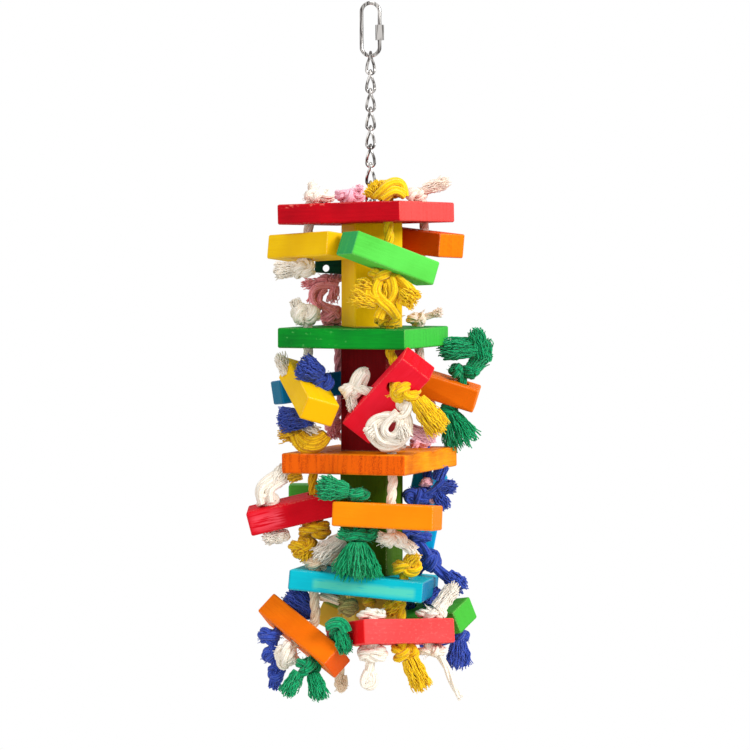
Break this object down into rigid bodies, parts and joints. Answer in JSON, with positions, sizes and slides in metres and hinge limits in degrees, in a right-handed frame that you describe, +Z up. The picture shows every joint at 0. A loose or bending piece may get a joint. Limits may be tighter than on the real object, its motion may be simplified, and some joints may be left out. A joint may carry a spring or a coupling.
{
  "type": "hanging wooden parrot toy",
  "caption": "Hanging bird toy: square dyed boards and column blocks on a centre wire, side blocks on knotted cotton ropes, twisted link chain and screw quick link.",
  "frame": {"origin": "the hanging point: the top of the inside of the quick link's eye", "axes": "+Z up along the chain and centre wire, -Y the front, +X to the right seen from the front"},
  "size_m": [0.1715, 0.1827, 0.5048],
  "materials": {
    "nickel_steel": "bright nickel plated wire",
    "dyed_wood_red": "dyed pine, sanded, matt",
    "dyed_wood_green": "dyed pine, sanded, matt",
    "dyed_wood_orange": "dyed pine, sanded, matt",
    "dyed_wood_teal": "dyed pine, sanded, matt",
    "dyed_wood_yellow": "dyed pine, sanded, matt",
    "dyed_wood_maroon": "dyed pine, sanded, matt",
    "dyed_wood_olive": "dyed pine, sanded, matt",
    "dyed_wood_dark_green": "dyed pine, sanded, matt",
    "dyed_wood_pale_yellow": "dyed pine, sanded, matt",
    "cotton_white": "twisted cotton rope",
    "cotton_natural": "twisted cotton rope",
    "cotton_yellow": "twisted cotton rope",
    "cotton_blue": "twisted cotton rope",
    "cotton_green": "twisted cotton rope",
    "cotton_pink": "twisted cotton rope"
  },
  "bodies": {
    "quick_link": {"quick_link": "nickel_steel"},
    "nut": {"quick_link_nut": "nickel_steel"},
    "chain_link_1": {"chain_link_1": "nickel_steel"},
    "chain_link_2": {"chain_link_2": "nickel_steel"},
    "chain_link_3": {"chain_link_3": "nickel_steel"},
    "chain_link_4": {"chain_link_4": "nickel_steel"},
    "chain_link_5": {"chain_link_5": "nickel_steel"},
    "chain_link_6": {"chain_link_6": "nickel_steel"},
    "chain_link_7": {"chain_link_7": "nickel_steel"},
    "chain_link_8": {"chain_link_8": "nickel_steel"},
    "toy": {"block_1_back_dark_green": "dyed_wood_dark_green", "block_1_front_green": "dyed_wood_green", "block_1_left_yellow": "dyed_wood_yellow", "block_1_right_orange": "dyed_wood_orange", "block_2_back_teal": "dyed_wood_teal", "block_2_front_red": "dyed_wood_red", "block_2_left_yellow": "dyed_wood_yellow", "block_2_right_orange": "dyed_wood_orange", "block_3_back_green": "dyed_wood_green", "block_3_front_orange": "dyed_wood_orange", "block_3_left_red": "dyed_wood_red", "block_3_right_teal": "dyed_wood_teal", "block_4_back_pale_yellow": "dyed_wood_pale_yellow", "block_4_front_red": "dyed_wood_red", "block_4_left_orange": "dyed_wood_orange", "block_4_right_green": "dyed_wood_green", "board_1_red": "dyed_wood_red", "board_2_green": "dyed_wood_green", "board_3_orange": "dyed_wood_orange", "board_4_teal": "dyed_wood_teal", "column_1_yellow": "dyed_wood_yellow", "column_2_maroon": "dyed_wood_maroon", "column_3_olive": "dyed_wood_olive", "column_4_pale_yellow": "dyed_wood_pale_yellow", "core_wire": "nickel_steel", "end_washer": "nickel_steel", "rope_1_back": "cotton_pink", "rope_1_front": "cotton_yellow", "rope_1_left": "cotton_white", "rope_1_right": "cotton_natural", "rope_2_back": "cotton_pink", "rope_2_front": "cotton_yellow", "rope_2_front_white": "cotton_white", "rope_2_left": "cotton_blue", "rope_2_right": "cotton_natural", "rope_2_right_green": "cotton_green", "rope_3_back": "cotton_white", "rope_3_front": "cotton_white", "rope_3_front_green": "cotton_green", "rope_3_left": "cotton_yellow", "rope_3_left_white": "cotton_white", "rope_3_right": "cotton_blue", "rope_4_back": "cotton_pink", "rope_4_front": "cotton_yellow", "rope_4_front_natural": "cotton_natural", "rope_4_front_white": "cotton_white", "rope_4_left": "cotton_natural", "rope_4_left_blue": "cotton_blue", "rope_4_left_green": "cotton_green", "rope_4_right": "cotton_blue"}
  },
  "joints": [
    {"name": "nut_travel", "type": "slide", "parent": "quick_link", "child": "nut", "axis": [0, 0, 1], "range_m": [0, 0.0084]},
    {"name": "swing_1", "type": "hinge", "parent": "quick_link", "child": "chain_link_1", "pos_m": [0, 0, -0.0368], "axis": [1, 0, 0], "range_deg": [-15, 15]},
    {"name": "swing_2", "type": "hinge", "parent": "chain_link_1", "child": "chain_link_2", "pos_m": [0, 0, -0.04755], "axis": [0, 1, 0], "range_deg": [-15, 15]},
    {"name": "swing_3", "type": "hinge", "parent": "chain_link_2", "child": "chain_link_3", "pos_m": [0, 0, -0.0633], "axis": [1, 0, 0], "range_deg": [-15, 15]},
    {"name": "swing_4", "type": "hinge", "parent": "chain_link_3", "child": "chain_link_4", "pos_m": [0, 0, -0.07435], "axis": [0, 1, 0], "range_deg": [-15, 15]},
    {"name": "swing_5", "type": "hinge", "parent": "chain_link_4", "child": "chain_link_5", "pos_m": [0, 0, -0.0901], "axis": [1, 0, 0], "range_deg": [-15, 15]},
    {"name": "swing_6", "type": "hinge", "parent": "chain_link_5", "child": "chain_link_6", "pos_m": [0, 0, -0.10115], "axis": [0, 1, 0], "range_deg": [-15, 15]},
    {"name": "swing_7", "type": "hinge", "parent": "chain_link_6", "child": "chain_link_7", "pos_m": [0, 0, -0.1169], "axis": [1, 0, 0], "range_deg": [-15, 15]},
    {"name": "swing_8", "type": "hinge", "parent": "chain_link_7", "child": "chain_link_8", "pos_m": [0, 0, -0.12795], "axis": [0, 1, 0], "range_deg": [-15, 15]},
    {"name": "swing_9", "type": "hinge", "parent": "chain_link_8", "child": "toy", "pos_m": [0, 0, -0.1437], "axis": [1, 0, 0], "range_deg": [-15, 15]}
  ]
}
